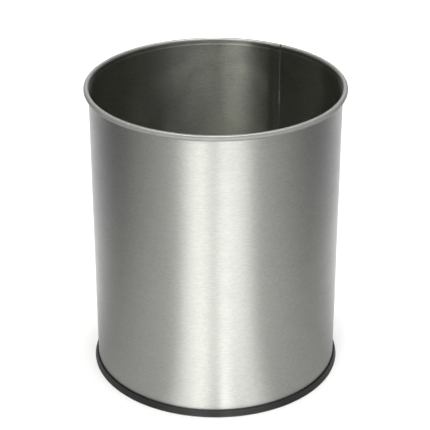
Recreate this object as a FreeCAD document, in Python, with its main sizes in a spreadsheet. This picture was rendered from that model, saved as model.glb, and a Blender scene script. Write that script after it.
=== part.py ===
import FreeCAD, Part
import math
import os
from collections import namedtuple

import Sketcher

# Open-top office wastebasket of brushed stainless steel, in millimetres.
#
# Frame: +Z up, origin on the floor at the middle of the bin, front towards -Y.
# The wall is one sheet rolled into a straight cylinder. Its two ends overlap in a vertical lap
# that is welded along the inside, its top edge is curled outwards into a hollow rim, and its
# bottom edge is folded together with the pressed bottom pan in a double seam. A plastic ring
# snaps over the double seam, and the bin stands on it.

DRIVING_SIZES = (
    # overall
    ("total_height", 307.0),
    ("wall_radius", 125.0),
    ("gauge", 0.4),
    # curled rim: outside radius of the curl, straight drop between its two turns,
    # and how far the lower turn goes round before the free edge
    ("curl_radius", 2.5),
    ("curl_drop", 0.8),
    ("curl_end_angle", 135.0),
    # gap between the two ends of the curl, at the mouth side and at the outer side
    ("notch_inner_width", 1.5),
    ("notch_outer_width", 0.6),
    # vertical lap, its direction from +X, and the length in which the sheet steps inwards
    ("seam_azimuth", 57.3),
    ("lap_width", 8.0),
    ("joggle_width", 4.0),
    ("lap_clearance", 0.5),
    # double seam: clearance between its layers and the heights of its two folds
    ("fold_clearance", 0.04),
    ("lower_fold_height", 2.8),
    ("upper_fold_height", 4.6),
    ("hook_clearance", 0.1),
    # bottom pan
    ("floor_height", 9.0),
    ("floor_bend_radius", 1.2),
    # stiffening bead round the floor: its place, and the radius and angle of each of its arcs
    ("bead_place", 90.0),
    ("bead_radius", 6.4),
    ("bead_angle", 28.0),
    # base ring
    ("ring_height", 7.2),
    ("ring_foot_radius", 128.5),
    ("ring_shoulder_radius", 127.0),
    ("ring_shoulder_drop", 1.1),
    ("ring_edge_radius", 0.6),
    ("ring_fit", 0.1),
    ("ring_web", 1.6),
    ("ring_leg", 1.3),
    ("ring_leg_height", 6.0),
    ("ring_leg_draft", 0.3),
    ("ring_lip_chamfer", 0.45),
    ("ring_slot_width", 4.0),
    ("ring_slot_count", 12),
)

FULL_TURN = 360.0
START_POINT = 1
END_POINT = 2
CENTRE_POINT = 3
SKETCH_ORIGIN = (-1, 1)
HORIZONTAL_AXIS = -1
VERTICAL_AXIS = -2

document = FreeCAD.newDocument("wastebasket")


# ---------------------------------------------------------------- sizes that carry their formula

class Size:
    """A length, with its value and the spreadsheet expression that gives it."""

    def __init__(self, value, text):
        self.value = value
        self.text = text

    def __add__(self, other):
        return combine(self, "+", other)

    def __sub__(self, other):
        return combine(self, "-", other)

    def __mul__(self, other):
        return combine(self, "*", other)

    def __truediv__(self, other):
        return combine(self, "/", other)

    def __neg__(self):
        return Size(-self.value, "(0 - %s)" % self.text)


def as_size(item):
    """A plain number as a Size."""
    if isinstance(item, Size):
        return item
    return Size(float(item), repr(float(item)))


def combine(left, sign, right):
    """The sum, difference, product or quotient of two sizes, as a Size."""
    left = as_size(left)
    right = as_size(right)
    results = {
        "+": left.value + right.value,
        "-": left.value - right.value,
        "*": left.value * right.value,
        "/": left.value / right.value if right.value else 0.0,
    }
    return Size(results[sign], "(%s %s %s)" % (left.text, sign, right.text))


def square_root(size):
    return Size(math.sqrt(size.value), "sqrt(%s)" % size.text)


def cosine(angle):
    return Size(math.cos(math.radians(angle.value)), "cos(%s * 1 deg)" % angle.text)


def sine(angle):
    return Size(math.sin(math.radians(angle.value)), "sin(%s * 1 deg)" % angle.text)


def make_sheet():
    """The spreadsheet of driving dimensions, and a Size for each of its cells."""
    sheet = document.addObject("Spreadsheet::Sheet", "Sizes")
    sizes = {}
    for row, (name, value) in enumerate(DRIVING_SIZES, start=1):
        sheet.set("A%d" % row, name)
        sheet.set("B%d" % row, str(value))
        sheet.setAlias("B%d" % row, name)
    document.recompute()
    for name, _ in DRIVING_SIZES:
        sizes[name] = Size(float(getattr(sheet, name)), "Sizes.%s" % name)
    return sizes


size = make_sheet()

# ---------------------------------------------------------------- places shared by the sub-parts

gauge = size["gauge"]
outer_face = size["wall_radius"]
inner_face = outer_face - gauge
lap_face = inner_face - gauge

# The curl's inner side is flush with the inner face of the wall.
curl_centre = inner_face + size["curl_radius"]
curl_level = size["total_height"] - size["curl_radius"]
curl_foot_level = curl_level - size["curl_drop"]
lap_foot_level = size["floor_height"] + size["lap_clearance"]

# The double seam's layers lie side by side, one pitch apart from middle to middle.
layer_pitch = gauge + size["fold_clearance"]
wall_middle = outer_face - gauge / 2
chuck_middle = wall_middle - layer_pitch
pan_hook_middle = wall_middle + layer_pitch
wall_hook_middle = pan_hook_middle + layer_pitch
seaming_middle = wall_hook_middle + layer_pitch
lower_fold = size["lower_fold_height"]
upper_fold = size["upper_fold_height"]
seam_face = seaming_middle + gauge / 2
seam_top = upper_fold + layer_pitch + gauge / 2


# ---------------------------------------------------------------- sketch helpers

Edge = namedtuple("Edge", "end centre clockwise")


def line(across, up):
    """A straight edge to the point (across, up)."""
    return Edge((as_size(across), as_size(up)), None, False)


def arc(across, up, centre, clockwise):
    """A round edge to the point (across, up) about a centre."""
    return Edge((as_size(across), as_size(up)), (as_size(centre[0]), as_size(centre[1])), clockwise)


def on_circle(radius, height):
    """The point of a circle about the origin, on its +X side, at a height above the X axis."""
    return square_root(radius * radius - height * height), as_size(height)


def vector(place):
    return FreeCAD.Vector(place[0].value, place[1].value, 0)


def round_edge(first, last, centre):
    """An arc that runs anticlockwise from first to last."""
    radius_line = vector(first) - vector(centre)
    last_line = vector(last) - vector(centre)
    first_angle = math.atan2(radius_line.y, radius_line.x)
    last_angle = math.atan2(last_line.y, last_line.x)
    if last_angle <= first_angle:
        last_angle += 2 * math.pi
    circle = Part.Circle(vector(centre), FreeCAD.Vector(0, 0, 1), radius_line.Length)
    return Part.ArcOfCircle(circle, first_angle, last_angle)


def tie(sketch, geometry, point, kind, length):
    """Holds one coordinate of a point at a length that follows the spreadsheet."""
    if length.value == 0:
        axis = VERTICAL_AXIS if kind == "DistanceX" else HORIZONTAL_AXIS
        sketch.addConstraint(Sketcher.Constraint("PointOnObject", geometry, point, axis))
        return
    place = (kind, *SKETCH_ORIGIN, geometry, point, length.value)
    number = sketch.addConstraint(Sketcher.Constraint(*place))
    sketch.setExpression("Constraints[%d]" % number, length.text)


def draw_outline(sketch, start, edges):
    """Draws the closed chain of edges that leaves start and comes back to it."""
    start = (as_size(start[0]), as_size(start[1]))
    here = start
    joints = []
    for edge in edges:
        first, last = (edge.end, here) if edge.clockwise else (here, edge.end)
        if edge.centre is None:
            shape = Part.LineSegment(vector(first), vector(last))
        else:
            shape = round_edge(first, last, edge.centre)
        number = sketch.addGeometry(shape, False)
        near, far = (END_POINT, START_POINT) if edge.clockwise else (START_POINT, END_POINT)
        joints.append((number, near, far, here, edge))
        here = edge.end
    for index, (number, near, far, place, edge) in enumerate(joints):
        following = joints[(index + 1) % len(joints)]
        sketch.addConstraint(Sketcher.Constraint("Coincident", number, far, following[0], following[1]))
        tie(sketch, number, near, "DistanceX", place[0])
        tie(sketch, number, near, "DistanceY", place[1])
        if edge.centre is not None:
            hold_centre(sketch, number, place, edge)


def hold_centre(sketch, number, place, edge):
    """Holds an arc's centre, along the line that its two ends leave it free to move on."""
    chord = vector(edge.end) - vector(place)
    if abs(chord.x) > abs(chord.y):
        tie(sketch, number, CENTRE_POINT, "DistanceY", edge.centre[1])
    else:
        tie(sketch, number, CENTRE_POINT, "DistanceX", edge.centre[0])


# ---------------------------------------------------------------- body and feature helpers

def make_body(label):
    body = document.addObject("PartDesign::Body", label)
    body.Label = label
    return body


def origin_feature(body, role):
    return next(item for item in body.Origin.OriginFeatures if item.Role == role)


def make_sketch(body, name, plane, start, edges, level=None):
    """A closed sketch on one of the body's own origin planes, raised to a level if one is given."""
    sketch = body.newObject("Sketcher::SketchObject", name)
    sketch.AttachmentSupport = [(origin_feature(body, plane), "")]
    sketch.MapMode = "FlatFace"
    if level is not None:
        sketch.AttachmentOffset = FreeCAD.Placement(FreeCAD.Vector(0, 0, level.value), FreeCAD.Rotation())
        sketch.setExpression(".AttachmentOffset.Base.z", level.text)
    draw_outline(sketch, start, edges)
    sketch.Visibility = False
    return sketch


def revolve(body, name, sketch):
    """A full turn of a section about the bin's axis."""
    feature = body.newObject("PartDesign::Revolution", name)
    feature.Profile = sketch
    feature.ReferenceAxis = (sketch, ["V_Axis"])
    feature.Angle = FULL_TURN
    document.recompute()
    return feature


def pad(body, name, sketch, length):
    """Raises a plan section by a length."""
    feature = body.newObject("PartDesign::Pad", name)
    feature.Profile = sketch
    feature.setExpression("Length", length.text)
    document.recompute()
    return feature


def pocket(body, name, sketch, length, upwards=False, both_ways=False):
    """Cuts a section away over a length, and stops if that removes nothing."""
    before = body.Shape.Volume
    feature = body.newObject("PartDesign::Pocket", name)
    feature.Profile = sketch
    feature.setExpression("Length", length.text)
    feature.Reversed = upwards
    feature.Midplane = both_ways
    document.recompute()
    if body.Shape.Volume >= before:
        raise RuntimeError("%s cuts nothing" % name)
    return feature


def turn_to_seam(body):
    """Turns a sub-part that is drawn with the lap on +X until the lap faces its true direction."""
    body.Placement = FreeCAD.Placement(
        FreeCAD.Vector(0, 0, 0),
        FreeCAD.Rotation(FreeCAD.Vector(0, 0, 1), size["seam_azimuth"].value),
    )
    body.setExpression(".Placement.Rotation.Angle", "%s * 1 deg" % size["seam_azimuth"].text)


# ---------------------------------------------------------------- body wall

def tube_section():
    """Half section of the straight wall, from the lower fold up to the curl."""
    start = (inner_face, lower_fold)
    edges = (
        line(outer_face, lower_fold),
        line(outer_face, curl_level),
        line(inner_face, curl_level),
        line(inner_face, lower_fold),
    )
    return start, edges


def curl_section():
    """Half section of the curl: over the top, down the outside and back in under itself."""
    outer_radius = size["curl_radius"]
    inner_radius = outer_radius - gauge
    upper_centre = (curl_centre, curl_level)
    lower_centre = (curl_centre, curl_foot_level)
    end_across = cosine(size["curl_end_angle"])
    end_down = sine(size["curl_end_angle"])
    start = (inner_face, curl_level)
    edges = (
        arc(curl_centre + outer_radius, curl_level, upper_centre, True),
        line(curl_centre + outer_radius, curl_foot_level),
        arc(
            curl_centre + outer_radius * end_across,
            curl_foot_level - outer_radius * end_down,
            lower_centre,
            True,
        ),
        line(curl_centre + inner_radius * end_across, curl_foot_level - inner_radius * end_down),
        arc(curl_centre + inner_radius, curl_foot_level, lower_centre, False),
        line(curl_centre + inner_radius, curl_level),
        arc(outer_face, curl_level, upper_centre, False),
        line(inner_face, curl_level),
    )
    return start, edges


def wall_hook_section():
    """Half section of the wall's bottom edge, folded outwards and up inside the double seam."""
    fold_centre = (pan_hook_middle, lower_fold)
    hook_top = upper_fold - size["hook_clearance"]
    start = (inner_face, lower_fold)
    edges = (
        arc(wall_hook_middle + gauge / 2, lower_fold, fold_centre, False),
        line(wall_hook_middle + gauge / 2, hook_top),
        line(wall_hook_middle - gauge / 2, hook_top),
        line(wall_hook_middle - gauge / 2, lower_fold),
        arc(outer_face, lower_fold, fold_centre, True),
        line(inner_face, lower_fold),
    )
    return start, edges


def lap_section():
    """Plan of the inner layer of the lap: one gauge thick, then run out over the joggle."""
    lap_end = size["lap_width"]
    joggle_end = lap_end + size["joggle_width"]
    start = (lap_face, as_size(0))
    edges = (
        line(inner_face, 0),
        arc(*on_circle(inner_face, joggle_end), (0, 0), False),
        line(*on_circle(lap_face, lap_end)),
        arc(lap_face, 0, (0, 0), True),
    )
    return start, edges


def joggle_section():
    """Plan of the hollow that the joggle leaves outside, beyond the outer layer's free edge."""
    lap_end = size["lap_width"]
    joggle_end = lap_end + size["joggle_width"]
    beyond = outer_face + gauge
    start = on_circle(inner_face, lap_end)
    edges = (
        line(beyond, lap_end),
        line(beyond, joggle_end),
        line(*on_circle(outer_face, joggle_end)),
        line(*start),
    )
    return start, edges


def notch_section():
    """Plan of the gap between the two ends of the curl, narrower on the outside."""
    inner_half = size["notch_inner_width"] / 2
    outer_half = size["notch_outer_width"] / 2
    inside = inner_face - gauge
    outside = curl_centre + size["curl_radius"] + gauge
    start = (inside, -inner_half)
    edges = (
        line(outside, -outer_half),
        line(outside, outer_half),
        line(inside, inner_half),
        line(inside, -inner_half),
    )
    return start, edges


def make_body_wall():
    body = make_body("body_wall")
    revolve(body, "wall_tube", make_sketch(body, "tube_section", "XZ_Plane", *tube_section()))
    revolve(body, "rim_curl", make_sketch(body, "curl_section", "XZ_Plane", *curl_section()))
    revolve(body, "wall_hook", make_sketch(body, "wall_hook_section", "XZ_Plane", *wall_hook_section()))
    lap_height = curl_level - lap_foot_level
    lap = make_sketch(body, "lap_section", "XY_Plane", *lap_section(), level=lap_foot_level)
    pad(body, "inner_lap", lap, lap_height)
    joggle = make_sketch(body, "joggle_section", "XY_Plane", *joggle_section(), level=lap_foot_level)
    pocket(body, "outer_joggle", joggle, lap_height, upwards=True)
    notch = make_sketch(body, "notch_section", "XY_Plane", *notch_section(), level=curl_level)
    pocket(body, "curl_notch", notch, size["curl_radius"] + gauge, upwards=True)
    turn_to_seam(body)
    return body


# ---------------------------------------------------------------- seam weld

def weld_section():
    """Plan of the quarter-round weld in the corner between the lap's free edge and the wall."""
    start = (lap_face, as_size(0))
    wall_toe = (on_circle(inner_face, gauge)[0], -gauge)
    edges = (
        arc(*wall_toe, (inner_face, 0), False),
        arc(inner_face, 0, (0, 0), False),
        line(lap_face, 0),
    )
    return start, edges


def make_seam_weld():
    body = make_body("seam_weld")
    weld = make_sketch(body, "weld_section", "XY_Plane", *weld_section(), level=lap_foot_level)
    pad(body, "weld_bead", weld, curl_level - lap_foot_level)
    turn_to_seam(body)
    return body


# ---------------------------------------------------------------- bottom pan

def bead_edges(floor_middle, side, outwards):
    """One face of the floor's stiffening bead. The side is the face's height above the sheet's middle."""
    place = size["bead_place"]
    radius = size["bead_radius"]
    across = sine(size["bead_angle"])
    up = cosine(size["bead_angle"])
    half_width = radius * 2 * across
    crown_centre = (place, floor_middle + radius - radius * 2 * up)
    crown_radius = radius + side
    turn_level = crown_centre[1] + crown_radius * up
    inner_turn = place - crown_radius * across
    outer_turn = place + crown_radius * across
    inner_foot = (place - half_width, floor_middle + side)
    outer_foot = (place + half_width, floor_middle + side)
    inner_centre = (inner_foot[0], floor_middle + radius)
    outer_centre = (outer_foot[0], floor_middle + radius)
    if outwards:
        return (
            line(*inner_foot),
            arc(inner_turn, turn_level, inner_centre, False),
            arc(outer_turn, turn_level, crown_centre, True),
            arc(*outer_foot, outer_centre, False),
        )
    return (
        line(*outer_foot),
        arc(outer_turn, turn_level, outer_centre, True),
        arc(inner_turn, turn_level, crown_centre, False),
        arc(*inner_foot, inner_centre, True),
    )


def pan_section():
    """Half section of the pan: beaded floor, chuck wall inside the bin, and its double-seam hook."""
    half = gauge / 2
    floor_top = size["floor_height"]
    floor_middle = floor_top - half
    floor_under = floor_top - gauge
    bend_centre = (
        chuck_middle - size["floor_bend_radius"],
        floor_middle - size["floor_bend_radius"],
    )
    lower_centre = (pan_hook_middle, lower_fold)
    upper_centre = (wall_hook_middle, upper_fold)
    hook_end = lower_fold + size["hook_clearance"]
    start = (as_size(0), floor_under)
    edges = (
        *bead_edges(floor_middle, -half, True),
        line(bend_centre[0], floor_under),
        arc(chuck_middle - half, bend_centre[1], bend_centre, True),
        line(chuck_middle - half, lower_fold),
        arc(seaming_middle + half, lower_fold, lower_centre, False),
        line(seaming_middle + half, upper_fold),
        arc(pan_hook_middle - half, upper_fold, upper_centre, False),
        line(pan_hook_middle - half, hook_end),
        line(pan_hook_middle + half, hook_end),
        line(pan_hook_middle + half, upper_fold),
        arc(seaming_middle - half, upper_fold, upper_centre, True),
        line(seaming_middle - half, lower_fold),
        arc(chuck_middle + half, lower_fold, lower_centre, True),
        line(chuck_middle + half, bend_centre[1]),
        arc(bend_centre[0], floor_top, bend_centre, False),
        *bead_edges(floor_middle, half, False),
        line(0, floor_top),
        line(0, floor_under),
    )
    return start, edges


def make_bottom_pan():
    body = make_body("bottom_pan")
    revolve(body, "pan_pressing", make_sketch(body, "pan_section", "XZ_Plane", *pan_section()))
    return body


# ---------------------------------------------------------------- base ring

def ring_section():
    """Half section of the ring: sloping outer leg with a lip over the seam, web, and inner leg."""
    fit = size["ring_fit"]
    edge = size["ring_edge_radius"]
    top = size["ring_height"]
    shoulder = size["ring_shoulder_radius"]
    shoulder_level = top - size["ring_shoulder_drop"]
    crest = shoulder - size["ring_shoulder_drop"]
    wall_side = outer_face + fit / 2
    chamfer = size["ring_lip_chamfer"]
    pocket_face = seam_face + fit
    pocket_top = seam_top + fit
    leg_face = chuck_middle - gauge / 2 - fit
    leg_inside = leg_face - size["ring_leg"]
    leg_foot = leg_inside - size["ring_leg_draft"]
    start = (leg_foot + edge, as_size(0))
    edges = (
        line(size["ring_foot_radius"] - edge, 0),
        arc(size["ring_foot_radius"], edge, (size["ring_foot_radius"] - edge, edge), False),
        line(shoulder, shoulder_level),
        arc(crest, top, (crest, shoulder_level), False),
        line(wall_side + chamfer, top),
        line(wall_side, top - chamfer),
        line(wall_side, pocket_top),
        line(pocket_face, pocket_top),
        line(pocket_face, size["ring_web"]),
        line(leg_face, size["ring_web"]),
        line(leg_face, size["ring_leg_height"]),
        line(leg_inside, size["ring_leg_height"]),
        line(leg_foot, edge),
        line(leg_foot + edge, 0),
    )
    return start, edges


def ring_slot_section():
    """Section of one relief slot through the inner leg, which lets the leg flex."""
    leg_face = chuck_middle - gauge / 2
    leg_inside = leg_face - size["ring_leg"] * 2
    above = size["ring_leg_height"] + 1
    start = (leg_inside, size["ring_web"])
    edges = (
        line(leg_face, size["ring_web"]),
        line(leg_face, above),
        line(leg_inside, above),
        line(leg_inside, size["ring_web"]),
    )
    return start, edges


def make_base_ring():
    body = make_body("base_ring")
    revolve(body, "ring_moulding", make_sketch(body, "ring_section", "XZ_Plane", *ring_section()))
    slot_sketch = make_sketch(body, "ring_slot_section", "XZ_Plane", *ring_slot_section())
    slot = pocket(body, "relief_slot", slot_sketch, size["ring_slot_width"], both_ways=True)
    slots = body.newObject("PartDesign::PolarPattern", "relief_slots")
    slots.Originals = [slot]
    slots.Axis = (origin_feature(body, "Z_Axis"), [""])
    slots.Angle = FULL_TURN
    slots.setExpression("Occurrences", size["ring_slot_count"].text)
    body.Tip = slots
    document.recompute()
    return body


# ---------------------------------------------------------------- build, check and write

sub_parts = (
    make_body_wall(),
    make_seam_weld(),
    make_bottom_pan(),
    make_base_ring(),
)
document.recompute()

for item in document.Objects:
    if "Invalid" in item.State or "Error" in item.State:
        raise RuntimeError("%s did not rebuild: %s" % (item.Label, item.State))

for sub_part in sub_parts:
    shape = sub_part.Shape
    if shape.isNull() or not shape.isValid():
        raise RuntimeError("%s has no valid shape" % sub_part.Label)

os.makedirs("parts", exist_ok=True)
for sub_part in sub_parts:
    shape = sub_part.Shape
    shape.exportStep("parts/%s.step" % sub_part.Label)
    box = shape.BoundBox
    print("%-11s solids %d  volume %9.1f mm3  x %.2f..%.2f  y %.2f..%.2f  z %.2f..%.2f" % (
        sub_part.Label, len(shape.Solids), shape.Volume,
        box.XMin, box.XMax, box.YMin, box.YMax, box.ZMin, box.ZMax,
    ))
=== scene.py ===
import math
from collections import namedtuple

import bmesh
import bpy
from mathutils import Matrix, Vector, noise


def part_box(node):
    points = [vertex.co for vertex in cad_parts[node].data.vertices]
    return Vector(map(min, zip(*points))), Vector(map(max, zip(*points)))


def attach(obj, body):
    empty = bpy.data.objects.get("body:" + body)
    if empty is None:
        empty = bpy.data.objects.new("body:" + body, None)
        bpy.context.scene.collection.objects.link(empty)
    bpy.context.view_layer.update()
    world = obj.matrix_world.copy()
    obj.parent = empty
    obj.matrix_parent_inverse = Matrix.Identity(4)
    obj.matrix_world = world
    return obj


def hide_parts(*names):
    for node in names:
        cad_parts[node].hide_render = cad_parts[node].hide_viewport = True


# Open-top office wastebasket of brushed stainless steel, in metres, in the CAD frame:
# +Z up, origin on the floor at the middle of the bin, front towards -Y.

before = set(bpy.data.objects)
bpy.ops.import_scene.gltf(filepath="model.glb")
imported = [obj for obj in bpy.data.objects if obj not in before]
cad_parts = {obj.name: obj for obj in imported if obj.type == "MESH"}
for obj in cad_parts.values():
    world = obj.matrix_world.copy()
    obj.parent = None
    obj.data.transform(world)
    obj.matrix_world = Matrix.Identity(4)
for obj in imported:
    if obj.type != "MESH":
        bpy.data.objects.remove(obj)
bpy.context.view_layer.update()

# ---------------------------------------------------------------- sizes

# What the CAD boxes don't tell: the sheet, the curl, the notch in the curl, and the lap.
GAUGE = 0.0004
CURL_RADIUS = 0.0025
CURL_DROP = 0.0008
CURL_END_TURN = math.radians(135)
NOTCH_INNER_WIDTH = 0.0015
NOTCH_OUTER_WIDTH = 0.0006
DIE_MARK_LEVEL = 0.3007
DIE_MARK_SPREAD = 0.0007
DIE_MARK_DEPTH = 0.00015
# DIE_MARK_FADE is how soft the edges of the painted highlight along the die mark are.
DIE_MARK_FADE = 0.0004
WAVE_DEPTH = 0.00009
WAVE_HEIGHT = 0.045
WAVES_ROUND = 3.1
LAP_WIDTH = 0.008
JOGGLE_WIDTH = 0.004
WELD_RADIUS = 0.0004
WELD_MEAN_SHARE = 0.9
WELD_SWELL_SHARE = 0.25
WELD_SWELL_LENGTH = 0.004

# How far beyond the curl's centre its polish reaches, and over what width it ends.
POLISH_REACH = 0.0020
POLISH_FADE = 0.0010

# Where along the weld a highlight is painted near white, and where it is tinted by heat: the
# levels at which each look starts, is full, starts to fade and ends.
PAINTED_GLINT_STRETCH = (0.240, 0.242, 0.255, 0.257)
HEAT_SPOTS = ((0.237, 0.239, 0.2405, 0.242), (0.298, 0.300, 0.3022, 0.3028))

# The double seam at the foot, the pan and the ring.
LAYER_GAP = 0.00004
LAYER_PITCH = GAUGE + LAYER_GAP
LOWER_FOLD_LEVEL = 0.0028
UPPER_FOLD_LEVEL = 0.0046
HOOK_CLEARANCE = 0.0001
FLOOR_LEVEL = 0.009
FLOOR_BEND_RADIUS = 0.0012
BEAD_PLACE = 0.090
BEAD_RADIUS = 0.0064
BEAD_TURN = math.radians(28)
RING_SHOULDER_RADIUS = 0.127
RING_SHOULDER_DROP = 0.0011
RING_EDGE_RADIUS = 0.0006
RING_FIT = 0.0001
RING_WEB = 0.0016
RING_LEG = 0.0013
RING_LEG_HEIGHT = 0.006
RING_LEG_DRAFT = 0.0003
RING_LIP_CHAMFER = 0.00045
RING_SLOT_WIDTH = 0.004
RING_SLOT_COUNT = 12

# How finely the shapes are divided.
COLUMN_COUNT = 288
CURL_STEPS = 18
FOLD_STEPS = 8
WALL_ROW_HEIGHT = 0.006
DIE_MARK_ROWS = 16
WELD_ARC_STEPS = 5
WELD_LENGTH_STEPS = 240
BEAD_FOOT_STEPS = 5
BEAD_CROWN_STEPS = 10
FLOOR_MIDDLE_STEPS = 12
FLOOR_EDGE_STEPS = 4
RING_EDGE_STEPS = 6
RING_SLOPE_STEPS = 4
RING_SHOULDER_STEPS = 8
LAP_SHARES = (0.3, 0.6, 1.0)
JOGGLE_SHARES = (0.0, 0.25, 0.5, 0.75, 1.0)

# Columns beside the seam, and rows beside an edge, keep the smooth shading even there.
SEAM_MARGINS = (-0.004, -0.0015)
EDGE_MARGIN = 0.0004
MERGE_DISTANCE = 1e-6
SHARP_TURN = math.radians(34)


def to_tenth_of_mm(length):
    """A CAD box is tessellated, so its sizes are read to the nearest 0.1 mm."""
    return round(length, 4)


wall_low, wall_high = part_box("body_wall")
weld_low, weld_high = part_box("seam_weld")
ring_low, ring_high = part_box("base_ring")

TOTAL_HEIGHT = to_tenth_of_mm(wall_high.z)
RIM_RADIUS = to_tenth_of_mm(wall_high.x)
INNER_FACE = RIM_RADIUS - 2 * CURL_RADIUS
OUTER_FACE = INNER_FACE + GAUGE
CURL_CENTRE = INNER_FACE + CURL_RADIUS
CURL_LEVEL = TOTAL_HEIGHT - CURL_RADIUS
CURL_FOOT_LEVEL = CURL_LEVEL - CURL_DROP
LAP_FOOT_LEVEL = to_tenth_of_mm(weld_low.z)
LAP_TOP_LEVEL = to_tenth_of_mm(weld_high.z)
SEAM_AZIMUTH = math.asin(weld_high.y / INNER_FACE)

WALL_MIDDLE = OUTER_FACE - GAUGE / 2
CHUCK_MIDDLE = WALL_MIDDLE - LAYER_PITCH
PAN_HOOK_MIDDLE = WALL_MIDDLE + LAYER_PITCH
WALL_HOOK_MIDDLE = PAN_HOOK_MIDDLE + LAYER_PITCH
SEAMING_MIDDLE = WALL_HOOK_MIDDLE + LAYER_PITCH
SEAM_FACE = SEAMING_MIDDLE + GAUGE / 2
SEAM_TOP = UPPER_FOLD_LEVEL + LAYER_PITCH + GAUGE / 2

RING_HEIGHT = to_tenth_of_mm(ring_high.z)
RING_FOOT_RADIUS = to_tenth_of_mm(ring_high.x)


# ---------------------------------------------------------------- mesh helpers

# A row is one point of a section. Its kind says which features of the wall move it.
Row = namedtuple("Row", "radius level kind", defaults=("plain",))

# A column is one direction round the bin, from the seam. lap and hollow say how much of a
# gauge the lap and the joggle move the wall inwards there, and notch which side of the notch it is.
Column = namedtuple("Column", "azimuth lap hollow notch", defaults=(0.0, 0.0, 0))


def line_rows(start, end, steps, kind="plain"):
    """Rows evenly along a straight stretch, both ends included."""
    rows = []
    for step in range(steps + 1):
        share = step / steps
        radius = start[0] + (end[0] - start[0]) * share
        level = start[1] + (end[1] - start[1]) * share
        rows.append(Row(radius, level, kind))
    return rows


def arc_rows(centre, radius, first, last, steps):
    """Rows evenly along an arc, in degrees from the outward direction, both ends included."""
    rows = []
    for step in range(steps + 1):
        angle = math.radians(first + (last - first) * step / steps)
        rows.append(Row(centre[0] + radius * math.cos(angle), centre[1] + radius * math.sin(angle)))
    return rows


def polar(radius, azimuth, level):
    return Vector((radius * math.cos(azimuth), radius * math.sin(azimuth), level))


def even_columns(count):
    return [Column(math.tau * number / count) for number in range(count)]


def plain_point(row, column):
    return polar(row.radius, column.azimuth, row.level)


def new_piece(name, surface):
    """Turns a closed surface into an object with smooth shading and sharp corners."""
    bmesh.ops.recalc_face_normals(surface, faces=surface.faces)
    mesh = bpy.data.meshes.new(name)
    surface.to_mesh(mesh)
    surface.free()
    mesh.shade_smooth()
    mesh.set_sharp_from_angle(angle=SHARP_TURN)
    piece = bpy.data.objects.new(name, mesh)
    bpy.context.scene.collection.objects.link(piece)
    return piece


def shell(name, rows, columns, point=plain_point, open_cells=frozenset(), caps=()):
    """A closed surface of quads. Rows go round the section and columns go round the bin."""
    surface = bmesh.new()
    corners = [[surface.verts.new(point(row, column)) for column in columns] for row in rows]
    for i in range(len(rows)):
        for j in range(len(columns)):
            if (i, j) not in open_cells:
                below = corners[i]
                above = corners[(i + 1) % len(rows)]
                k = (j + 1) % len(columns)
                surface.faces.new((below[j], below[k], above[k], above[j]))
    for cap in caps:
        surface.faces.new([corners[i][j % len(columns)] for i, j in cap])
    bmesh.ops.remove_doubles(surface, verts=surface.verts, dist=MERGE_DISTANCE)
    return new_piece(name, surface)


def finish_piece(piece, node, slot_name, *materials):
    """Puts a visible piece in the place of its CAD node."""
    for material in materials:
        piece.data.materials.append(material)
    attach(piece, "root")
    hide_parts(node)


# ---------------------------------------------------------------- wall

def wall_rows():
    """The wall's closed section, up the inside, over the curl and down the outside."""
    inner_curl = CURL_RADIUS - GAUGE
    end_turn = -math.degrees(CURL_END_TURN)
    lower_steps = round(CURL_STEPS * CURL_END_TURN / math.pi)
    upper_centre = (CURL_CENTRE, CURL_LEVEL)
    lower_centre = (CURL_CENTRE, CURL_FOOT_LEVEL)
    fold_centre = (PAN_HOOK_MIDDLE, LOWER_FOLD_LEVEL)
    hook_top = UPPER_FOLD_LEVEL - HOOK_CLEARANCE
    hook_outside = WALL_HOOK_MIDDLE + GAUGE / 2
    hook_inside = WALL_HOOK_MIDDLE - GAUGE / 2
    fold_outer = hook_outside - PAN_HOOK_MIDDLE
    fold_inner = GAUGE / 2 + LAYER_GAP
    wall_steps = round((LAP_TOP_LEVEL - LAP_FOOT_LEVEL) / WALL_ROW_HEIGHT)
    mark_start = DIE_MARK_LEVEL - 3 * DIE_MARK_SPREAD
    up = line_rows((INNER_FACE, LAP_FOOT_LEVEL), (INNER_FACE, mark_start), wall_steps, "lap")
    face_top = LAP_TOP_LEVEL - EDGE_MARGIN
    up += line_rows((INNER_FACE, mark_start), (INNER_FACE, face_top), DIE_MARK_ROWS, "lap")[1:]
    down = line_rows((OUTER_FACE, face_top), (OUTER_FACE, LAP_FOOT_LEVEL), wall_steps, "hollow")
    return {
        "inner_foot": [Row(INNER_FACE, LOWER_FOLD_LEVEL), Row(INNER_FACE, LAP_FOOT_LEVEL)],
        "inner_face": up + [Row(INNER_FACE, LAP_TOP_LEVEL, "lap")],
        "crown_outside": arc_rows(upper_centre, CURL_RADIUS, 180, 0, CURL_STEPS),
        "curl_outside": arc_rows(lower_centre, CURL_RADIUS, 0, end_turn, lower_steps),
        "curl_inside": arc_rows(lower_centre, inner_curl, end_turn, 0, lower_steps),
        "crown_inside": arc_rows(upper_centre, inner_curl, 0, 180, CURL_STEPS),
        "outer_face": [Row(OUTER_FACE, LAP_TOP_LEVEL, "hollow")] + down,
        "outer_foot": [Row(OUTER_FACE, LAP_FOOT_LEVEL), Row(OUTER_FACE, LOWER_FOLD_LEVEL)],
        "fold_inside": arc_rows(fold_centre, fold_inner, 180, 360, FOLD_STEPS),
        "hook": [Row(hook_inside, hook_top), Row(hook_outside, hook_top)],
        "fold_outside": arc_rows(fold_centre, fold_outer, 0, -180, FOLD_STEPS),
    }


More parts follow.
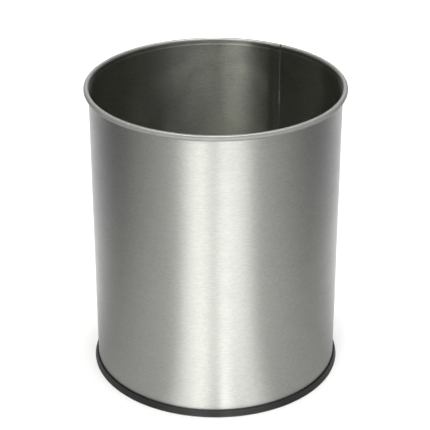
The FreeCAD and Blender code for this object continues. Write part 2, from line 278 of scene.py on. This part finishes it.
def wall_columns():
    """Narrow columns at the seam, then even ones round the rest of the bin."""
    def at(offset):
        return math.asin(offset / INNER_FACE)

    columns = [Column(at(margin)) for margin in SEAM_MARGINS]
    columns.append(Column(0.0, notch=-1))
    columns.append(Column(0.0))
    columns.append(Column(0.0, lap=1.0))
    columns.append(Column(0.0, lap=1.0, notch=1))
    columns += [Column(at(LAP_WIDTH * share), lap=1.0) for share in LAP_SHARES]
    for share in JOGGLE_SHARES:
        offset = at(LAP_WIDTH + JOGGLE_WIDTH * share)
        columns.append(Column(offset, lap=1.0 - share, hollow=1.0 - share))
    first = at(LAP_WIDTH + JOGGLE_WIDTH)
    last = math.tau + at(SEAM_MARGINS[0])
    for number in range(1, COLUMN_COUNT):
        columns.append(Column(first + (last - first) * number / COLUMN_COUNT))
    return columns


def notch_turn(radius):
    """Half the notch's width at a radius, as an angle: it narrows towards the outside."""
    inside = INNER_FACE - GAUGE
    outside = RIM_RADIUS + GAUGE
    share = (radius - inside) / (outside - inside)
    width = NOTCH_INNER_WIDTH + (NOTCH_OUTER_WIDTH - NOTCH_INNER_WIDTH) * share
    return width / 2 / radius


def wall_wave(azimuth, level):
    """The sheet's slight waviness between its stiff curl and its stiff foot, in metres."""
    share = min(max((level - SEAM_TOP) / (CURL_FOOT_LEVEL - SEAM_TOP), 0.0), 1.0)
    free = math.sin(math.pi * share)
    place = polar(WAVES_ROUND, azimuth, level / WAVE_HEIGHT)
    return WAVE_DEPTH * free * noise.noise(place)


def die_mark(level):
    """The shallow ridge that the curling die leaves inside, below the curl, in metres."""
    return DIE_MARK_DEPTH * math.exp(-((level - DIE_MARK_LEVEL) / DIE_MARK_SPREAD) ** 2)


def on_sheet_face(radius):
    """Whether a radius is that of the straight wall's inner or outer face."""
    return min(abs(radius - INNER_FACE), abs(radius - OUTER_FACE)) < MERGE_DISTANCE


def wall_point(row, column):
    """A row's point in a column, moved by the notch, the lap, the die mark and the waviness."""
    azimuth = column.azimuth
    if column.notch:
        azimuth = column.notch * notch_turn(row.radius)
    azimuth += SEAM_AZIMUTH
    radius = row.radius
    if row.kind == "lap":
        radius -= GAUGE * column.lap + die_mark(row.level)
    if row.kind == "hollow":
        radius -= GAUGE * column.hollow
    if on_sheet_face(row.radius):
        radius += wall_wave(azimuth, row.level)
    return polar(radius, azimuth, row.level)


def paint_wall(piece):
    """Gives the curl's faces the second material, and those on the wall's inside the third."""
    for face in piece.data.polygons:
        x, y, level = face.center
        beyond_wall = math.hypot(x, y) > OUTER_FACE + GAUGE
        if level > LAP_TOP_LEVEL or (beyond_wall and level > TOTAL_HEIGHT / 2):
            face.material_index = 1
        elif face.normal.x * x + face.normal.y * y < 0:
            face.material_index = 2


def notch_gap(outer, inner, near, far):
    """The cells left open between the notch's columns, and the caps that close its walls."""
    open_cells = set()
    caps = []
    for j in range(near, far):
        for step in range(CURL_STEPS):
            open_cells.add((outer[step], j))
            open_cells.add((inner[step] - 1, j))
        for end in (0, -1):
            caps.append((
                (outer[end], j), (outer[end], j + 1), (inner[end], j + 1), (inner[end], j)
            ))
    for j in (near, far):
        for step in range(CURL_STEPS):
            caps.append((
                (outer[step], j), (outer[step + 1], j), (inner[step + 1], j), (inner[step], j)
            ))
    return open_cells, caps


def make_wall(*materials):
    """The sheet with its curl, foot fold, lap and joggle, and the notch where the curl's ends meet."""
    rows = []
    starts = {}
    for name, stretch in wall_rows().items():
        starts[name] = len(rows)
        rows += stretch
    columns = wall_columns()
    near, far = [j for j, column in enumerate(columns) if column.notch]
    outer = [starts["crown_outside"] + step for step in range(CURL_STEPS + 1)]
    inner = [starts["crown_inside"] + CURL_STEPS - step for step in range(CURL_STEPS + 1)]
    open_cells, caps = notch_gap(outer, inner, near, far)
    piece = shell("wall", rows, columns, wall_point, open_cells, caps)
    finish_piece(piece, "body_wall", "wall_steel", *materials)
    paint_wall(piece)


# ---------------------------------------------------------------- seam weld

def weld_section(level):
    """The bead's quarter-round section at a level: points inwards and sideways of its corner."""
    swell = noise.noise(Vector((0.0, 0.0, level / WELD_SWELL_LENGTH)))
    radius = WELD_RADIUS * (WELD_MEAN_SHARE + WELD_SWELL_SHARE * swell)
    section = [(0.0, 0.0)]
    for step in range(WELD_ARC_STEPS + 1):
        angle = math.pi / 2 * step / WELD_ARC_STEPS
        section.append((radius * math.cos(angle), radius * math.sin(angle)))
    return section


def make_weld(material):
    """A bead in the corner at the lap's free edge, slightly uneven along its length."""
    surface = bmesh.new()
    rings = []
    for step in range(WELD_LENGTH_STEPS + 1):
        level = LAP_FOOT_LEVEL + (LAP_TOP_LEVEL - LAP_FOOT_LEVEL) * step / WELD_LENGTH_STEPS
        ring = []
        for inwards, sideways in weld_section(level):
            azimuth = SEAM_AZIMUTH - sideways / INNER_FACE
            distance = INNER_FACE + wall_wave(azimuth, level) - inwards
            ring.append(surface.verts.new(polar(distance, azimuth, level)))
        rings.append(ring)
    for lower, upper in zip(rings, rings[1:]):
        for k in range(len(lower)):
            n = (k + 1) % len(lower)
            surface.faces.new((lower[k], lower[n], upper[n], upper[k]))
    surface.faces.new(rings[0])
    surface.faces.new(rings[-1])
    finish_piece(new_piece("weld", surface), "seam_weld", "weld_metal", material)


# ---------------------------------------------------------------- bottom pan

def bead_rows(side):
    """One face of the floor's stiffening bead, outwards. Its side is its height off the middle."""
    middle = FLOOR_LEVEL - GAUGE / 2
    turn = math.degrees(BEAD_TURN)
    half_width = 2 * BEAD_RADIUS * math.sin(BEAD_TURN)
    crown_level = middle + BEAD_RADIUS - 2 * BEAD_RADIUS * math.cos(BEAD_TURN)
    foot = BEAD_RADIUS - side
    crown = BEAD_RADIUS + side
    near_centre = (BEAD_PLACE - half_width, middle + BEAD_RADIUS)
    crown_centre = (BEAD_PLACE, crown_level)
    far_centre = (BEAD_PLACE + half_width, middle + BEAD_RADIUS)
    rows = arc_rows(near_centre, foot, -90, -90 + turn, BEAD_FOOT_STEPS)
    rows += arc_rows(crown_centre, crown, 90 + turn, 90 - turn, BEAD_CROWN_STEPS)[1:]
    rows += arc_rows(far_centre, foot, -90 - turn, -90, BEAD_FOOT_STEPS)[1:]
    return rows


def floor_rows(side, last):
    """One face of the floor, outwards from the middle to the radius where its bend starts."""
    level = FLOOR_LEVEL - GAUGE / 2 + side
    bead = bead_rows(side)
    bead_start = bead[0].radius - EDGE_MARGIN
    bead_end = bead[-1].radius + EDGE_MARGIN
    rows = line_rows((0.0, level), (bead_start, level), FLOOR_MIDDLE_STEPS)
    rows += bead
    rows += line_rows((bead_end, level), (last - EDGE_MARGIN, level), FLOOR_EDGE_STEPS)
    return rows


def pan_rows():
    """The pan's closed section: underside, hook, seaming wall, and back over the floor."""
    half = GAUGE / 2
    bend = (CHUCK_MIDDLE - FLOOR_BEND_RADIUS, FLOOR_LEVEL - half - FLOOR_BEND_RADIUS)
    lower = (PAN_HOOK_MIDDLE, LOWER_FOLD_LEVEL)
    upper = (WALL_HOOK_MIDDLE, UPPER_FOLD_LEVEL)
    hook_end = LOWER_FOLD_LEVEL + HOOK_CLEARANCE
    seaming_outside = SEAMING_MIDDLE + half
    seaming_inside = SEAMING_MIDDLE - half
    rows = floor_rows(-half, bend[0])
    rows += arc_rows(bend, FLOOR_BEND_RADIUS - half, 90, 0, FOLD_STEPS)
    rows += arc_rows(lower, seaming_outside - PAN_HOOK_MIDDLE, -180, 0, FOLD_STEPS)
    rows += arc_rows(upper, seaming_outside - WALL_HOOK_MIDDLE, 0, 180, FOLD_STEPS)
    rows += [Row(PAN_HOOK_MIDDLE - half, hook_end), Row(PAN_HOOK_MIDDLE + half, hook_end)]
    rows += arc_rows(upper, seaming_inside - WALL_HOOK_MIDDLE, 180, 0, FOLD_STEPS)
    rows += arc_rows(lower, seaming_inside - PAN_HOOK_MIDDLE, 0, -180, FOLD_STEPS)
    rows += arc_rows(bend, FLOOR_BEND_RADIUS + half, 0, 90, FOLD_STEPS)
    rows += reversed(floor_rows(half, bend[0]))
    return rows


def make_pan(material):
    """The raised bottom with its stiffening bead, and its hook in the double seam."""
    piece = shell("pan", pan_rows(), even_columns(COLUMN_COUNT // 2))
    finish_piece(piece, "bottom_pan", "pan_steel", material)


# ---------------------------------------------------------------- base ring

def ring_rows():
    """The ring's closed section, and the numbers of its rows that make the inner leg.

    It goes round by the foot, the sloping outer face, the lip, the pocket and the inner leg.
    """
    shoulder_level = RING_HEIGHT - RING_SHOULDER_DROP
    crest = RING_SHOULDER_RADIUS - RING_SHOULDER_DROP
    lip = OUTER_FACE + RING_FIT / 2
    pocket_face = SEAM_FACE + RING_FIT
    pocket_top = SEAM_TOP + RING_FIT
    leg_face = CHUCK_MIDDLE - GAUGE / 2 - RING_FIT
    leg_inside = leg_face - RING_LEG
    leg_foot = leg_inside - RING_LEG_DRAFT
    slope = (RING_WEB - RING_EDGE_RADIUS) / (RING_LEG_HEIGHT - RING_EDGE_RADIUS)
    edge_centre = (RING_FOOT_RADIUS - RING_EDGE_RADIUS, RING_EDGE_RADIUS)
    slope_foot = (RING_FOOT_RADIUS, RING_EDGE_RADIUS)
    slope_top = (RING_SHOULDER_RADIUS, shoulder_level)
    rows = [Row(leg_foot + RING_EDGE_RADIUS, 0.0)]
    rows += arc_rows(edge_centre, RING_EDGE_RADIUS, -90, 0, RING_EDGE_STEPS)
    rows += line_rows(slope_foot, slope_top, RING_SLOPE_STEPS)[1:-1]
    rows += arc_rows((crest, shoulder_level), RING_SHOULDER_DROP, 0, 90, RING_SHOULDER_STEPS)
    rows.append(Row(lip + RING_LIP_CHAMFER, RING_HEIGHT))
    rows.append(Row(lip, RING_HEIGHT - RING_LIP_CHAMFER))
    rows.append(Row(lip, pocket_top))
    rows.append(Row(pocket_face, pocket_top))
    rows.append(Row(pocket_face, RING_WEB))
    leg_start = len(rows)
    rows.append(Row(leg_face, RING_WEB))
    rows.append(Row(leg_face, RING_LEG_HEIGHT))
    rows.append(Row(leg_inside, RING_LEG_HEIGHT))
    rows.append(Row(leg_foot + RING_LEG_DRAFT * slope, RING_WEB))
    leg = range(leg_start, len(rows))
    rows.append(Row(leg_foot, RING_EDGE_RADIUS))
    return rows, leg


def make_ring(material):
    """The plastic ring, whose inner leg is cut by relief slots."""
    rows, leg = ring_rows()
    half_slot = RING_SLOT_WIDTH / 2 / INNER_FACE
    pitch = math.tau / RING_SLOT_COUNT
    between = COLUMN_COUNT // RING_SLOT_COUNT
    columns = []
    open_cells = set()
    caps = []
    span = pitch - 2 * half_slot
    for slot_number in range(RING_SLOT_COUNT):
        slot_start = slot_number * pitch - half_slot
        slot_end = slot_start + 2 * half_slot
        first = len(columns)
        columns.append(Column(slot_start))
        for number in range(between):
            columns.append(Column(slot_end + span * number / between))
        open_cells.update((row, first) for row in leg[:-1])
        caps.append([(row, first) for row in leg])
        caps.append([(row, first + 1) for row in leg])
        caps.append([(leg[0], first), (leg[0], first + 1), (leg[-1], first + 1), (leg[-1], first)])
    piece = shell("ring", rows, columns, open_cells=open_cells, caps=caps)
    finish_piece(piece, "base_ring", "ring_plastic", material)


# ---------------------------------------------------------------- material helpers

class Nodes:
    """A node tree of a world or a material, with a short call for each kind of node used here."""

    def __init__(self, owner):
        owner.use_nodes = True
        self.tree = owner.node_tree

    def add(self, kind):
        return self.tree.nodes.new(kind)

    def put(self, source, target):
        """Links an output to an input, or sets the input to a number."""
        if isinstance(source, bpy.types.NodeSocket):
            self.tree.links.new(source, target)
        else:
            target.default_value = source

    def math(self, operation, first, second=0.0, third=0.0):
        node = self.add("ShaderNodeMath")
        node.operation = operation
        for source, target in zip((first, second, third), node.inputs):
            self.put(source, target)
        return node.outputs["Value"]

    def product(self, first, *others):
        for other in others:
            first = self.math("MULTIPLY", first, other)
        return first

    def total(self, first, *others):
        for other in others:
            first = self.math("ADD", first, other)
        return first

    def ramp(self, value, low, high, to_low, to_high):
        """Goes smoothly from to_low to to_high while the value goes from low to high."""
        node = self.add("ShaderNodeMapRange")
        node.interpolation_type = "SMOOTHSTEP"
        for source, target in zip((value, low, high, to_low, to_high), node.inputs):
            self.put(source, target)
        return node.outputs["Result"]

    def window(self, value, start, full, fade, end):
        """Rises from 0 to 1 from start to full, and falls back to 0 from fade to end."""
        rise = self.ramp(value, start, full, 0.0, 1.0)
        return self.product(rise, self.ramp(value, fade, end, 1.0, 0.0))

    def split(self, vector):
        node = self.add("ShaderNodeSeparateXYZ")
        self.put(vector, node.inputs["Vector"])
        return node.outputs["X"], node.outputs["Y"], node.outputs["Z"]

    def distance(self, x, y):
        """How far a place is from the bin's axis, in metres."""
        return self.math("SQRT", self.total(self.product(x, x), self.product(y, y)))

    def glow(self, kind, strength, colour):
        """A light-giving shader: an emission for a surface, a background for the world."""
        node = self.add(kind)
        self.put(strength, node.inputs["Strength"])
        node.inputs["Color"].default_value = colour
        return node.outputs[0]

    def together(self, first, second):
        """The sum of two light-giving shaders."""
        node = self.add("ShaderNodeAddShader")
        self.put(first, node.inputs[0])
        self.put(second, node.inputs[1])
        return node.outputs["Shader"]

    def seen_by_camera(self, direct, otherwise):
        """One shader for the camera's own rays and another for every reflection."""
        mixed = self.add("ShaderNodeMixShader")
        self.put(self.add("ShaderNodeLightPath").outputs["Is Camera Ray"], mixed.inputs["Fac"])
        self.put(otherwise, mixed.inputs[1])
        self.put(direct, mixed.inputs[2])
        return mixed.outputs["Shader"]


class MaterialNodes(Nodes):
    """The nodes of a new material, which start with its shader and the place on the object."""

    def __init__(self, name):
        self.material = bpy.data.materials.new(name)
        super().__init__(self.material)
        self.shader = self.tree.nodes["Principled BSDF"]
        self.place = self.add("ShaderNodeTexCoord").outputs["Object"]

    def set(self, **values):
        """Sets or links sockets of the shader: base_color is its Base Color, and so on."""
        for name, value in values.items():
            self.put(value, self.shader.inputs[name.replace("_", " ").title()])

    def level(self):
        """The height above the floor, in metres."""
        return self.split(self.place)[2]

    def stretch(self, along, up):
        """Object coordinates in units of one feature: its length round the bin and its height."""
        node = self.add("ShaderNodeMapping")
        self.put(self.place, node.inputs["Vector"])
        node.inputs["Scale"].default_value = (1 / along, 1 / along, 1 / up)
        return node.outputs["Vector"]

    def noise(self, place, detail=2.0, roughness=0.5):
        node = self.add("ShaderNodeTexNoise")
        self.put(place, node.inputs["Vector"])
        node.inputs["Scale"].default_value = 1.0
        node.inputs["Detail"].default_value = detail
        node.inputs["Roughness"].default_value = roughness
        return node.outputs["Fac"]

    def mix(self, share, first, second):
        node = self.add("ShaderNodeMix")
        node.data_type = "RGBA"
        self.put(share, node.inputs["Factor"])
        for source, name in ((first, "A"), (second, "B")):
            target = [s for s in node.inputs if s.name == name and s.type == "RGBA"][0]
            self.put(source, target)
        return [s for s in node.outputs if s.type == "RGBA"][0]

    def grain_direction(self, amount, turn):
        """Smears the gloss upwards at a quarter turn, and round the bin at none."""
        self.shader.inputs["Anisotropic"].default_value = amount
        self.shader.inputs["Anisotropic Rotation"].default_value = turn
        tangent = self.add("ShaderNodeTangent")
        tangent.direction_type = "RADIAL"
        tangent.axis = "Z"
        self.put(tangent.outputs["Tangent"], self.shader.inputs["Tangent"])

    def bump(self, height, depth, below=None):
        """A bump whose full range of height is a real depth in metres, on top of another one."""
        node = self.add("ShaderNodeBump")
        node.inputs["Strength"].default_value = 1.0
        node.inputs["Distance"].default_value = depth
        self.put(height, node.inputs["Height"])
        if below:
            self.put(below, node.inputs["Normal"])
        return node.outputs["Normal"]


# ---------------------------------------------------------------- materials

def brushed_steel(name, dark, light, dent_depth, swell_depth, painted_mark_highlight):
    """Stainless steel with a fine brushed grain that runs round the bin, dents and swells.

    The depths are in metres, and the last share is how much of a painted highlight along the die mark
    shows.
    """
    nodes = MaterialNodes(name)
    below = DIE_MARK_LEVEL - DIE_MARK_SPREAD
    above = DIE_MARK_LEVEL + DIE_MARK_SPREAD
    # shine is a painted highlight: a near-white band painted along the die mark's ridge.
    shine = nodes.window(
        nodes.level(), below - DIE_MARK_FADE, below + DIE_MARK_FADE,
        above - DIE_MARK_FADE, above + DIE_MARK_FADE
    )
    fine = nodes.noise(nodes.stretch(0.0035, 0.0007), 3.0, 0.6)
    streaks = nodes.noise(nodes.stretch(0.007, 0.0014), 2.0, 0.6)
    patches = nodes.noise(nodes.stretch(0.030, 0.010), 2.0, 0.5)
    dents = nodes.noise(nodes.stretch(0.006, 0.005), 2.0, 0.5)
    swells = nodes.noise(nodes.stretch(0.040, 0.030), 1.0, 0.5)
    grain = nodes.math("MULTIPLY_ADD", fine, 0.6, nodes.math("MULTIPLY", streaks, 0.4))
    tone = nodes.ramp(grain, 0.33, 0.67, 0.0, 1.0)
    brushed = nodes.mix(tone, dark, light)
    uneven = nodes.bump(dents, dent_depth, nodes.bump(swells, swell_depth))
    nodes.set(
        base_color=nodes.mix(nodes.product(painted_mark_highlight, shine), brushed, (0.90, 0.90, 0.86, 1.0)),
        metallic=1.0,
        roughness=nodes.total(nodes.product(patches, 0.05), nodes.product(grain, 0.08), 0.385),
        normal=nodes.bump(grain, 0.000004, uneven),
    )
    nodes.grain_direction(0.9, 0.25)
    return nodes.material


def wall_steel():
    """The outside of the sheet, which is the polished side."""
    return brushed_steel(
        "wall_steel", (0.522, 0.526, 0.492, 1.0), (0.622, 0.626, 0.588, 1.0),
        dent_depth=0.000001, swell_depth=0.00001, painted_mark_highlight=0.0
    )


def inner_wall_steel():
    """The inside of the sheet: a shade warmer and less even than the outside, with a painted highlight
    along the die mark.
    """
    return brushed_steel(
        "inner_wall_steel", (0.480, 0.484, 0.444, 1.0), (0.598, 0.604, 0.554, 1.0),
        dent_depth=0.000035, swell_depth=0.0018, painted_mark_highlight=0.8
    )


def rim_steel():
    """The curl's steel: polished by the die inside and on top, satin outside, with painted shade
    underneath.
    """
    nodes = MaterialNodes("rim_steel")
    drag = nodes.noise(nodes.stretch(0.012, 0.0005), 3.0, 0.6)
    scuffs = nodes.noise(nodes.stretch(0.006, 0.002), 3.0, 0.6)
    x, y, level = nodes.split(nodes.place)
    polish_end = CURL_CENTRE + POLISH_REACH
    polish = nodes.ramp(nodes.distance(x, y), polish_end - POLISH_FADE, polish_end, 1.0, 0.0)
    # Painted shade under the curl: the base colour darkens to near black towards its underside.
    above_painted_shade = nodes.ramp(level, CURL_FOOT_LEVEL - CURL_RADIUS, CURL_LEVEL, 0.0, 1.0)
    tone = nodes.ramp(drag, 0.35, 0.65, 0.0, 1.0)
    satin = nodes.mix(tone, (0.33, 0.33, 0.32, 1.0), (0.41, 0.41, 0.40, 1.0))
    upper = nodes.mix(polish, satin, (0.56, 0.56, 0.54, 1.0))
    nodes.set(
        base_color=nodes.mix(above_painted_shade, (0.16, 0.16, 0.155, 1.0), upper),
        metallic=nodes.math("MULTIPLY_ADD", polish, 0.4, 0.4),
        roughness=nodes.math("MULTIPLY_ADD", scuffs, 0.12, 0.28),
        normal=nodes.bump(scuffs, 0.00001),
    )
    nodes.grain_direction(0.9, 0.0)
    return nodes.material


def weld_metal():
    """Fused metal with fine ripples across the bead, one stretch with a painted highlight and two
    heat-tinted spots.
    """
    nodes = MaterialNodes("weld_metal")
    level = nodes.level()
    ripples = nodes.noise(nodes.stretch(0.004, 0.0006), 2.0, 0.5)
    # A painted highlight: one stretch of the weld is painted near white, where it glints.
    painted_glint = nodes.window(level, *PAINTED_GLINT_STRETCH)
    heat = nodes.total(*[nodes.window(level, *spot) for spot in HEAT_SPOTS])
    plain = nodes.mix(ripples, (0.26, 0.25, 0.22, 1.0), (0.40, 0.38, 0.34, 1.0))
    bright = nodes.mix(painted_glint, plain, (0.90, 0.88, 0.84, 1.0))
    nodes.set(
        base_color=nodes.mix(heat, bright, (0.50, 0.30, 0.18, 1.0)),
        metallic=0.6,
        roughness=nodes.math("MULTIPLY_ADD", ripples, 0.2, 0.28),
        normal=nodes.bump(ripples, 0.00005),
    )
    return nodes.material


def pan_steel():
    """Pressed stainless sheet: satin, with the straight grain of the sheet and faint scuffs."""
    nodes = MaterialNodes("pan_steel")
    place = nodes.add("ShaderNodeMapping")
    nodes.put(nodes.place, place.inputs["Vector"])
    place.inputs["Scale"].default_value = (1 / 0.035, 1 / 0.0005, 1 / 0.0005)
    grain = nodes.noise(place.outputs["Vector"], 3.0, 0.6)
    scuffs = nodes.noise(nodes.stretch(0.018, 0.018), 3.0, 0.6)
    tone = nodes.ramp(scuffs, 0.35, 0.7, 0.0, 1.0)
    worn = nodes.math("MULTIPLY_ADD", grain, 0.12, 0.22)
    nodes.set(
        base_color=nodes.mix(tone, (0.56, 0.56, 0.54, 1.0), (0.50, 0.50, 0.48, 1.0)),
        metallic=1.0,
        roughness=nodes.math("MULTIPLY_ADD", scuffs, 0.12, worn),
        normal=nodes.bump(grain, 0.000006),
    )
    return nodes.material


def ring_plastic():
    """Black moulded plastic with a fine matt texture."""
    nodes = MaterialNodes("ring_plastic")
    texture = nodes.noise(nodes.stretch(0.0007, 0.0007), 3.0, 0.6)
    wear = nodes.noise(nodes.stretch(0.015, 0.006), 3.0, 0.6)
    tone = nodes.ramp(wear, 0.35, 0.75, 0.0, 1.0)
    matt = nodes.math("MULTIPLY_ADD", texture, 0.1, 0.30)
    nodes.shader.inputs["Specular IOR Level"].default_value = 0.42
    nodes.set(
        base_color=nodes.mix(tone, (0.012, 0.012, 0.012, 1.0), (0.018, 0.018, 0.018, 1.0)),
        roughness=nodes.math("MULTIPLY_ADD", wear, 0.15, matt),
        normal=nodes.bump(texture, 0.00002),
    )
    return nodes.material


# ---------------------------------------------------------------- studio

# The camera stands in front of the bin and looks down at it. Its lens and sensor are in mm.
CAMERA_PLACE = (-0.0007, -1.3507, 0.8515)
CAMERA_TILT = math.radians(27.064)
CAMERA_LENS = 123.83
CAMERA_SENSOR = 36.0
FLOOR_REACH = 12.0
FILL_LIGHT_SIZE = 3.0
FILL_LIGHT_POWER = 72.0
FILL_LIGHT_HEIGHT = 2.5
WHITE = (1.0, 1.0, 1.0, 1.0)
WARM_WHITE = (0.97, 1.0, 0.15, 1.0)
COOL_WHITE = (0.97, 0.98, 1.03, 1.0)

# A light in the world: its strength, and the windows that it fills round the bin and in height.
# A window is where the light starts, is full, starts to fade and ends, in degrees.
Light = namedtuple("Light", "strength round_bin height")
LEFT_SOFTBOX = Light(2.05, (-34, -31, -14, -8), (7, 18, 50, 72))
RIGHT_SOFTBOX = Light(1.0, (1, 2, 9, 80), (4, 12, 23, 40))
BOOM_LIGHT = Light(1.6, (-28, -22, -16, -12), (38, 46, 60, 68))


def make_camera():
    data = bpy.data.cameras.new("camera")
    data.sensor_width = CAMERA_SENSOR
    data.lens = CAMERA_LENS
    camera = bpy.data.objects.new("camera", data)
    camera.location = CAMERA_PLACE
    camera.rotation_euler = (math.pi / 2 - CAMERA_TILT, 0.0, 0.0)
    bpy.context.scene.collection.objects.link(camera)
    bpy.context.scene.camera = camera


def bearing(nodes, x, y):
    """The direction round the bin, in degrees from its front, positive to the right."""
    return nodes.math("DEGREES", nodes.math("ARCTAN2", x, nodes.math("MULTIPLY", y, -1.0)))


def make_world():
    """White behind everything. The bin sees a dark room with its lights. Angles are in degrees."""
    world = bpy.data.worlds.new("studio")
    bpy.context.scene.world = world
    nodes = Nodes(world)
    nodes.tree.nodes.clear()
    x, y, z = nodes.split(nodes.add("ShaderNodeTexCoord").outputs["Generated"])
    azimuth = bearing(nodes, x, y)
    elevation = nodes.math("DEGREES", nodes.math("ARCSINE", z))
    far_round = nodes.math("ABSOLUTE", azimuth)

    def shine(light):
        across = nodes.window(azimuth, *light.round_bin)
        return nodes.product(light.strength, across, nodes.window(elevation, *light.height))

    zenith = nodes.product(7.0, nodes.ramp(elevation, 72, 82, 0.0, 1.0))
    backdrop = nodes.product(
        2.0, nodes.ramp(far_round, 140, 170, 0.0, 1.0), nodes.ramp(elevation, 4, 26, 1.0, 0.0)
    )
    ceiling = nodes.product(
        1.2, nodes.window(azimuth, -59, -36, 85, 108), nodes.ramp(elevation, 57, 64, 0.0, 1.0)
    )
    white_light = nodes.total(
        shine(LEFT_SOFTBOX), shine(RIGHT_SOFTBOX), zenith, backdrop, ceiling
    )
    room = nodes.together(
        nodes.glow("ShaderNodeBackground", white_light, WHITE),
        nodes.glow("ShaderNodeBackground", shine(BOOM_LIGHT), WARM_WHITE),
    )
    seen = nodes.seen_by_camera(nodes.glow("ShaderNodeBackground", 1.0, WHITE), room)
    nodes.put(seen, nodes.add("ShaderNodeOutputWorld").inputs["Surface"])


def table_light(nodes):
    """What the bin sees in the glossy white table: the light round its foot, and the softboxes.

    Windows are in degrees round the bin, and ramps over the distance are in metres.
    """
    x, y = nodes.split(nodes.place)[:2]
    azimuth = bearing(nodes, x, y)
    far_round = nodes.math("ABSOLUTE", azimuth)
    distance = nodes.distance(x, y)
    round_foot = nodes.product(
        nodes.ramp(distance, 0.18, 0.36, 0.37, 0.7), nodes.ramp(distance, 0.36, 0.44, 1.0, 0.0)
    )
    left = nodes.total(
        nodes.product(0.82, nodes.window(azimuth, -120, -20, -7, 1)),
        nodes.product(1.54, nodes.window(azimuth, -32, -15, -12, -2)),
    )
    middle = nodes.product(
        nodes.window(azimuth, -16, -4, 4, 12), nodes.ramp(distance, 0.13, 0.35, 1.1, 0.93)
    )
    right = nodes.total(
        nodes.product(0.7, nodes.window(azimuth, -1, 6, 22, 137)),
        nodes.product(1.68, nodes.window(azimuth, 1, 5, 18, 37)),
    )
    front = nodes.product(nodes.total(left, right), nodes.ramp(distance, 0.13, 0.62, 0.58, 1.0))
    behind = nodes.product(
        4.9, nodes.ramp(far_round, 79, 226, 0.0, 1.0), nodes.ramp(far_round, 148, 178, 1.0, 0.55),
        nodes.ramp(distance, 0.05, 2.9, 1.0, 0.0)
    )
    return nodes.together(
        nodes.glow("ShaderNodeEmission", nodes.total(round_foot, middle, front), WHITE),
        nodes.glow("ShaderNodeEmission", behind, COOL_WHITE),
    )


def make_floor():
    """White paper to the camera. To the bin it is the table that it stands on."""
    sides = ((-1, -1), (1, -1), (1, 1), (-1, 1))
    corners = [(FLOOR_REACH * x, FLOOR_REACH * y, 0.0) for x, y in sides]
    mesh = bpy.data.meshes.new("floor")
    mesh.from_pydata(corners, [], [range(4)])
    floor = bpy.data.objects.new("floor", mesh)
    bpy.context.scene.collection.objects.link(floor)
    nodes = MaterialNodes("floor_white")
    nodes.set(base_color=(0.9, 0.9, 0.9, 1.0), roughness=0.9)
    nodes.shader.inputs["Emission Color"].default_value = WHITE
    distance = nodes.distance(*nodes.split(nodes.place)[:2])
    nodes.set(emission_strength=nodes.ramp(distance, 0.3, 2.6, 0.08, 0.9))
    seen = nodes.seen_by_camera(nodes.shader.outputs["BSDF"], table_light(nodes))
    nodes.put(seen, nodes.tree.nodes["Material Output"].inputs["Surface"])
    mesh.materials.append(nodes.material)


def make_fill_light():
    """A wide soft light overhead for the paper and the plastic. The steel doesn't show it."""
    data = bpy.data.lights.new("fill_light", "AREA")
    data.shape = "DISK"
    data.size = FILL_LIGHT_SIZE
    data.energy = FILL_LIGHT_POWER
    light = bpy.data.objects.new("fill_light", data)
    light.location = (0.0, 0.0, FILL_LIGHT_HEIGHT)
    light.visible_camera = False
    light.visible_glossy = False
    bpy.context.scene.collection.objects.link(light)


def make_studio():
    make_camera()
    make_world()
    make_floor()
    make_fill_light()
    bpy.context.scene.view_settings.view_transform = "Standard"


# ---------------------------------------------------------------- build

make_wall(wall_steel(), rim_steel(), inner_wall_steel())
make_weld(weld_metal())
make_pan(pan_steel())
make_ring(ring_plastic())
make_studio()
